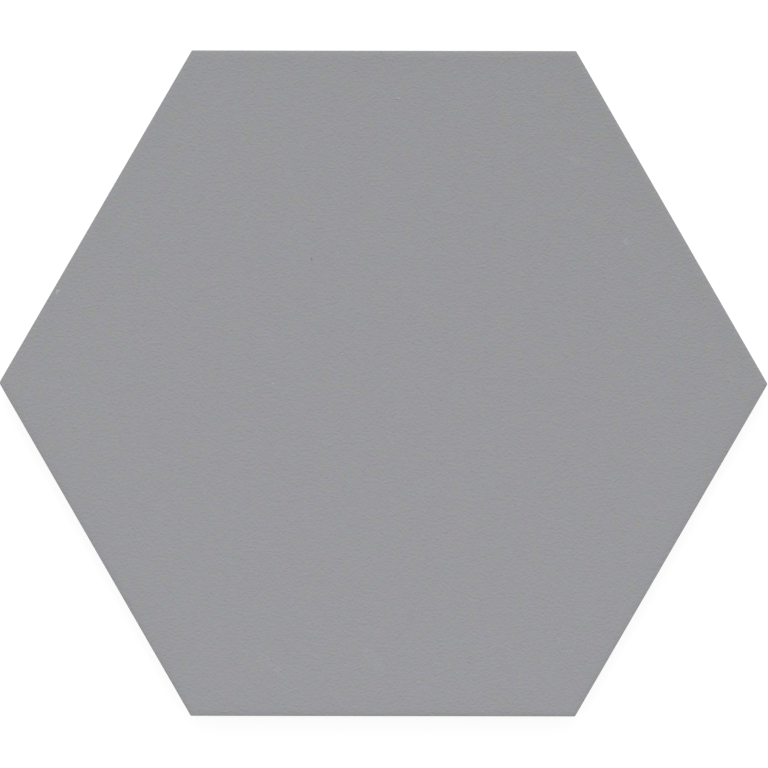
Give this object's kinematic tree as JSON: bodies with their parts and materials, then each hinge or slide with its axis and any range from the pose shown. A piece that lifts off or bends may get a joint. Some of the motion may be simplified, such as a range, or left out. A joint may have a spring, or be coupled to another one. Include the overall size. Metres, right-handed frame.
{
  "type": "hexagon floor tile",
  "caption": "Plain matt grey hexagonal porcelain floor tile with softly rolled face edges, slightly drawn-in sides and a honeycomb key on the back.",
  "frame": {"origin": "centre of the back, on the plane that the tile beds on", "axes": "+Z out of the face, +X towards a corner, so that two of the six sides face +Y and -Y"},
  "size_m": [0.2498, 0.2166, 0.009],
  "materials": {
    "porcelain": "matte"
  },
  "bodies": {
    "root": {"hexagon_tile": "porcelain"}
  },
  "joints": []
}
